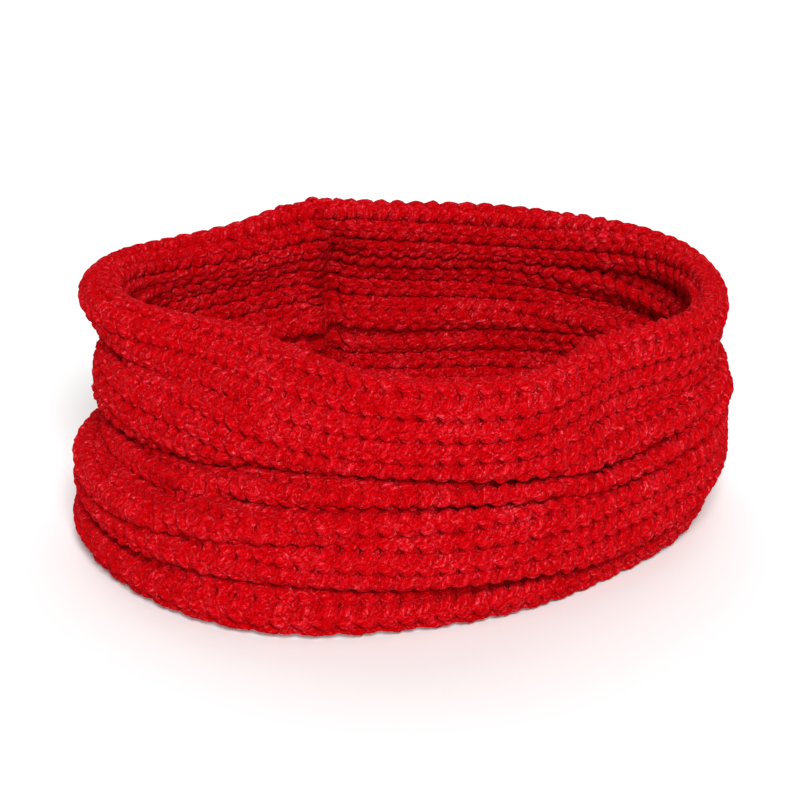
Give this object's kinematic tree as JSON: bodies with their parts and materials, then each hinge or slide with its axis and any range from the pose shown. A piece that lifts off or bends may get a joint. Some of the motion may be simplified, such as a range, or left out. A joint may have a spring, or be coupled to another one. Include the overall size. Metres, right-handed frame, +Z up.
{
  "type": "neck gaiter",
  "caption": "Chunky rib-knit neck gaiter: a seamed loop of thick red yarn, slouched into rolls, whose folds open upwards when the rim is pulled up over the chin.",
  "frame": {"origin": "on the floor, under the middle of the loop's bounding box", "axes": "+Z up through the neck opening, from the hem to the rim; -Y towards the front of the neck; +X along the loop's longest side"},
  "size_m": [0.2336, 0.1782, 0.09],
  "materials": {
    "knit": "fuzzy chunky acrylic rib knit, bright red",
    "seam_yarn": "the same red yarn, sewn by hand"
  },
  "bodies": {
    "hem": {"hem_roll": "knit", "hem_seam": "seam_yarn", "hem_yarn_tail": "seam_yarn"},
    "lower": {"lower_roll": "knit", "middle_roll": "knit", "lower_seam": "seam_yarn", "middle_seam": "seam_yarn"},
    "upper": {"upper_roll": "knit", "upper_seam": "seam_yarn"},
    "rim": {"rim_roll": "knit", "rim_seam": "seam_yarn", "rim_yarn_tail": "seam_yarn"}
  },
  "joints": [
    {"name": "lower_fold", "type": "slide", "parent": "hem", "child": "lower", "axis": [0, 0, 1], "range_m": [0, 0.008]},
    {"name": "upper_fold", "type": "slide", "parent": "lower", "child": "upper", "axis": [0, 0, 1], "range_m": [0, 0.014]},
    {"name": "rim_fold", "type": "slide", "parent": "upper", "child": "rim", "axis": [0, 0, 1], "range_m": [0, 0.01]}
  ]
}
